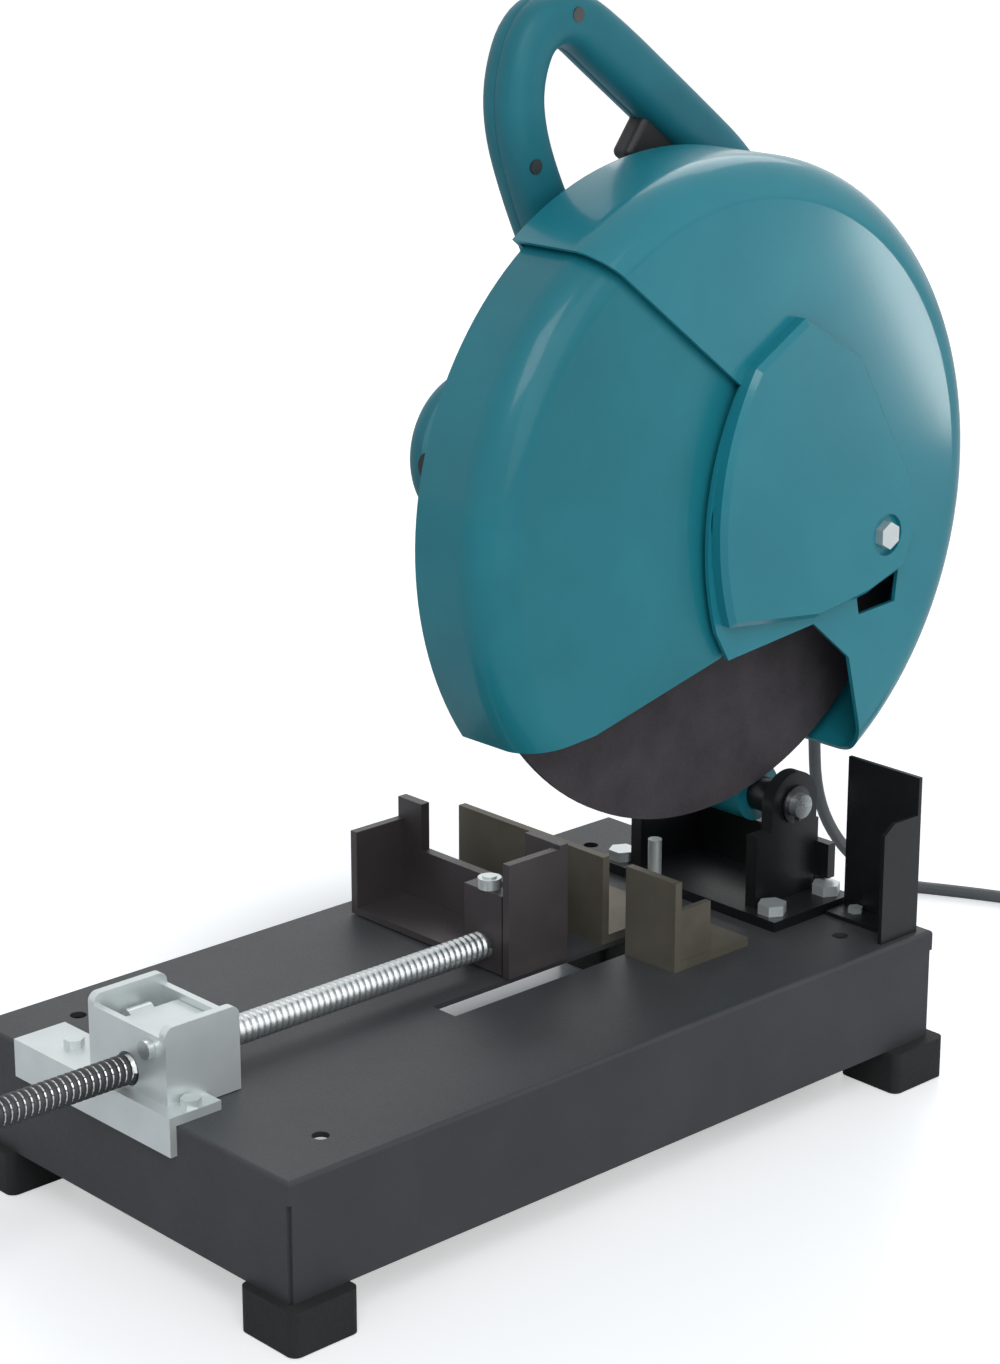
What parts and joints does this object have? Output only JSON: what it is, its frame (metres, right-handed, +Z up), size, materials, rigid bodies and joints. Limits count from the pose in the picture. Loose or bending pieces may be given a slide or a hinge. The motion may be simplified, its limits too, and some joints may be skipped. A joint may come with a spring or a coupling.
{
  "type": "abrasive chop saw",
  "caption": "Bench chop saw: a round guarded abrasive wheel on a spring-raised hinged head with a D-handle, over a pressed base with a screw vise and fence, on rubber feet",
  "frame": {"origin": "bottom centre of the machine's bounding box without its mains lead, on the floor under the feet", "axes": "+X to the wheel side, +Y from the operator to the rear, +Z up"},
  "size_m": [0.323, 1.0281, 0.614],
  "materials": {
    "charcoal_paint": "satin charcoal paint on pressed steel",
    "black_paint": "semi-matt black paint",
    "teal_paint": "satin teal paint on pressed steel",
    "teal_cast": "satin teal paint on cast aluminium",
    "teal_plastic": "glass-filled nylon, teal",
    "black_plastic": "glass-filled nylon, black",
    "black_rubber": "moulded black rubber",
    "grey_pvc": "grey PVC sheath",
    "zinc_steel": "zinc-plated steel",
    "steel": "turned steel",
    "spring_steel": "oiled spring steel",
    "fence_iron": "bare blackened iron",
    "aluminium": "die-cast aluminium",
    "resin": "resin-bonded abrasive with glass net",
    "iron_core": "stacked iron sheets with windings",
    "copper": "drawn copper",
    "brass": "turned brass",
    "carbon": "pressed carbon"
  },
  "bodies": {
    "base": {"base_frame": "charcoal_paint", "rubber_feet": "black_rubber", "foot_screws": "zinc_steel", "pivot_bracket": "black_paint", "bracket_bolts": "zinc_steel", "pivot_shaft": "steel", "shaft_clips": "spring_steel", "torsion_spring": "spring_steel", "guide_plate": "fence_iron", "guide_plate_bolts": "zinc_steel", "stop_bolt": "zinc_steel", "spark_guard": "black_paint", "spark_guard_screws": "zinc_steel", "vise_holder": "zinc_steel", "vise_holder_bolts": "zinc_steel", "vise_nut_pin": "steel", "cord_lead": "grey_pvc", "cord_coil": "grey_pvc", "plug_body": "grey_pvc", "plug_pins": "brass"},
    "vise_carriage": {"vise_jaw": "black_paint", "jaw_pin": "zinc_steel"},
    "vise_spinner": {"vise_screw": "steel", "vise_crank": "zinc_steel", "crank_knob": "black_plastic"},
    "vise_half_nut": {"vise_nut": "zinc_steel"},
    "head": {"arm_housing": "teal_cast", "bearing_box": "aluminium", "guard_retainer": "steel", "spindle_bearings": "steel", "motor_bearings": "steel", "wheel_guard": "teal_paint", "guard_screws": "zinc_steel", "center_cover": "teal_cast", "cover_screw": "zinc_steel", "motor_housing": "teal_cast", "motor_end_cover": "teal_plastic", "stator": "iron_core", "motor_screws": "zinc_steel", "brush_holders": "black_plastic", "carbon_brushes": "carbon", "brush_caps": "black_plastic", "handle_left": "teal_plastic", "handle_right": "teal_plastic", "handle_screws": "zinc_steel", "switch_body": "black_plastic", "strain_relief": "black_rubber"},
    "lower_guard": {"safety_guard": "teal_paint"},
    "wheel_shaft": {"spindle": "steel", "drive_gear": "steel", "inner_flange": "steel", "outer_flange": "steel", "abrasive_wheel": "resin", "wheel_bolt": "steel"},
    "motor_rotor": {"armature": "iron_core", "commutator": "copper", "cooling_fan": "black_plastic"},
    "trigger_lever": {"trigger": "black_plastic"},
    "lock_off_button": {"lock_button": "black_plastic"},
    "spindle_lock": {"shaft_lock": "steel"}
  },
  "joints": [
    {"name": "head_pivot", "type": "hinge", "parent": "base", "child": "head", "pos_m": [0, 0.205, 0.15], "axis": [1, 0, 0], "range_deg": [0, 39], "stiffness_Nm_per_rad": 40, "springref_deg": -63.03},
    {"name": "guard_swing", "type": "hinge", "parent": "head", "child": "lower_guard", "pos_m": [0, 0.148, 0.332], "axis": [1, 0, 0], "range_deg": [-52.1, 0]},
    {"name": "wheel_spin", "type": "hinge", "parent": "head", "child": "wheel_shaft", "pos_m": [0, 0.148, 0.332], "axis": [1, 0, 0], "continuous": true},
    {"name": "rotor_spin", "type": "hinge", "parent": "head", "child": "motor_rotor", "pos_m": [0, 0.108, 0.345], "axis": [1, 0, 0], "continuous": true},
    {"name": "trigger_pull", "type": "hinge", "parent": "head", "child": "trigger_lever", "pos_m": [-0.03, 0.15547, 0.53657], "axis": [1, 0, 0], "range_deg": [0, 7], "stiffness_Nm_per_rad": 2, "springref_deg": -8.59},
    {"name": "lock_press", "type": "slide", "parent": "head", "child": "lock_off_button", "axis": [1, 0, 0], "range_m": [0, 0.003], "stiffness_N_per_m": 400, "springref_m": -0.002},
    {"name": "spindle_lock_press", "type": "slide", "parent": "head", "child": "spindle_lock", "axis": [1, 0, 0], "range_m": [0, 0.003], "stiffness_N_per_m": 500, "springref_m": -0.002},
    {"name": "vise_slide", "type": "slide", "parent": "base", "child": "vise_carriage", "axis": [0, 1, 0], "range_m": [-0.11, 0.029]},
    {"name": "vise_turn", "type": "hinge", "parent": "vise_carriage", "child": "vise_spinner", "pos_m": [0, 0, 0.103], "axis": [0, 1, 0], "range_deg": [-9901, 2611]},
    {"name": "nut_flip", "type": "hinge", "parent": "base", "child": "vise_half_nut", "pos_m": [0.019, -0.2, 0.12], "axis": [0, 1, 0], "range_deg": [0, 75]}
  ],
  "couplings": [
    {"joint": "guard_swing", "follows": "head_pivot", "ratio": -1.3333},
    {"joint": "rotor_spin", "follows": "wheel_spin", "ratio": -4.3333},
    {"joint": "vise_turn", "follows": "vise_slide", "rad_per_m": 1570.8}
  ]
}
